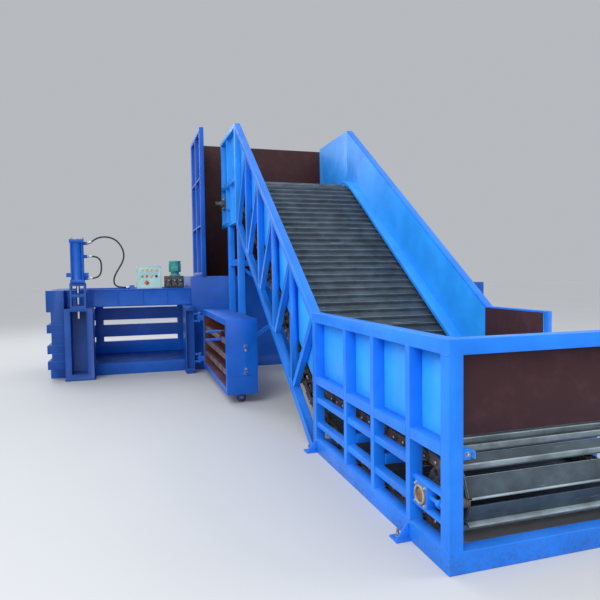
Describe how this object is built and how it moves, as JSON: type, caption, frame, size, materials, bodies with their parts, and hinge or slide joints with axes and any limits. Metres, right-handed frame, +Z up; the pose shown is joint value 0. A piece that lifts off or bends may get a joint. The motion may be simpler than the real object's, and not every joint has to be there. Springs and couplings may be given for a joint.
{
  "type": "recycling baler",
  "caption": "Horizontal recycling baler fed by a steel apron conveyor that climbs into a tall hopper, with a side door, a door lock and a ram.",
  "frame": {"origin": "middle of the floor footprint", "axes": "X along the press, from its door lock to its main cylinder; Y along the conveyor, from its feed trough to the press; Z up"},
  "size_m": [7.482, 7.85, 3.83],
  "materials": {
    "bright_blue": "semi-gloss enamel",
    "deep_blue": "semi-gloss enamel",
    "primer_brown": "matt iron-oxide primer",
    "pan_steel": "rolled, worn bright on the edges",
    "dark_steel": "oiled, scaled",
    "cast_housing": "cast, painted dark",
    "teal_paint": "enamel",
    "pale_teal": "powder coat",
    "chrome_rod": "ground and plated",
    "lamp_yellow": "clear gloss",
    "button_green": "gloss",
    "button_red": "gloss",
    "black_plastic": "matt",
    "hose_rubber": "woven cover"
  },
  "bodies": {
    "baler": {"feed_frame": "bright_blue", "feed_side_left": "bright_blue", "feed_side_right": "bright_blue", "tail_plate": "primer_brown", "track_left": "dark_steel", "track_right": "dark_steel", "truss_left": "bright_blue", "truss_right": "bright_blue", "skirt_left": "bright_blue", "skirt_right": "bright_blue", "head_side_left": "bright_blue", "head_side_right": "bright_blue", "conveyor_legs": "bright_blue", "cross_ties": "bright_blue", "apron_pans": "pan_steel", "chain_left": "dark_steel", "chain_right": "dark_steel", "tail_bearings": "cast_housing", "head_shaft": "dark_steel", "head_bearings": "cast_housing", "gear_motor": "teal_paint", "anchor_feet": "bright_blue", "hopper_left": "deep_blue", "hopper_right": "deep_blue", "hopper_back": "primer_brown", "hopper_slope": "primer_brown", "press_base": "deep_blue", "rear_wall": "deep_blue", "end_wall": "deep_blue", "press_top": "deep_blue", "mouth_side_near": "deep_blue", "mouth_side_far": "deep_blue", "mouth_beams": "deep_blue", "hinge_post": "deep_blue", "lock_column": "deep_blue", "lock_cylinder": "deep_blue", "hinge_brackets": "deep_blue", "main_cylinder": "deep_blue", "cylinder_frame": "deep_blue", "oil_tank": "deep_blue", "pump_motor": "teal_paint", "valve_block": "cast_housing", "control_box": "pale_teal", "signal_lamps": "lamp_yellow", "cap_hose": "hose_rubber", "loop_hose": "hose_rubber"},
    "door": {"side_door": "deep_blue", "wear_bars": "primer_brown"},
    "lock": {"lock_bar": "chrome_rod"},
    "press_ram": {"ram": "primer_brown", "ram_rod": "chrome_rod"},
    "tail": {"tail_wheels": "dark_steel"},
    "wheel": {"door_wheel": "dark_steel"},
    "selector": {"selector_knob": "black_plastic"},
    "start_button_body": {"start_button": "button_green"},
    "stop_button_body": {"stop_button": "button_red"},
    "lock_button_body": {"lock_button": "lamp_yellow"},
    "emergency_button_body": {"emergency_button": "button_red"}
  },
  "joints": [
    {"name": "side_door_hinge", "type": "hinge", "parent": "baler", "child": "door", "pos_m": [-1.579, 2.258, 0.55], "axis": [0, 0, 1], "range_deg": [-90, 0]},
    {"name": "lock_bar_slide", "type": "slide", "parent": "baler", "child": "lock", "axis": [0, 0, -1], "range_m": [0, 0.3]},
    {"name": "ram_slide", "type": "slide", "parent": "baler", "child": "press_ram", "axis": [-1, 0, 0], "range_m": [0, 1.85]},
    {"name": "tail_shaft_turn", "type": "hinge", "parent": "baler", "child": "tail", "pos_m": [-0.209, -3.625, 0.3], "axis": [1, 0, 0], "continuous": true},
    {"name": "door_wheel_turn", "type": "hinge", "parent": "door", "child": "wheel", "pos_m": [-1.3565, 0.168, 0.062], "axis": [0, 1, 0], "continuous": true},
    {"name": "start_button_press", "type": "slide", "parent": "baler", "child": "start_button_body", "axis": [0, 1, 0], "range_m": [0, 0.006], "stiffness_N_per_m": 300},
    {"name": "stop_button_press", "type": "slide", "parent": "baler", "child": "stop_button_body", "axis": [0, 1, 0], "range_m": [0, 0.006], "stiffness_N_per_m": 300},
    {"name": "lock_button_press", "type": "slide", "parent": "baler", "child": "lock_button_body", "axis": [0, 1, 0], "range_m": [0, 0.006], "stiffness_N_per_m": 300},
    {"name": "emergency_button_press", "type": "slide", "parent": "baler", "child": "emergency_button_body", "axis": [0, 1, 0], "range_m": [0, 0.006], "stiffness_N_per_m": 300},
    {"name": "selector_turn", "type": "hinge", "parent": "baler", "child": "selector", "pos_m": [-2.189, 2.635, 1.5003], "axis": [0, -1, 0], "range_deg": [-45, 45]}
  ]
}
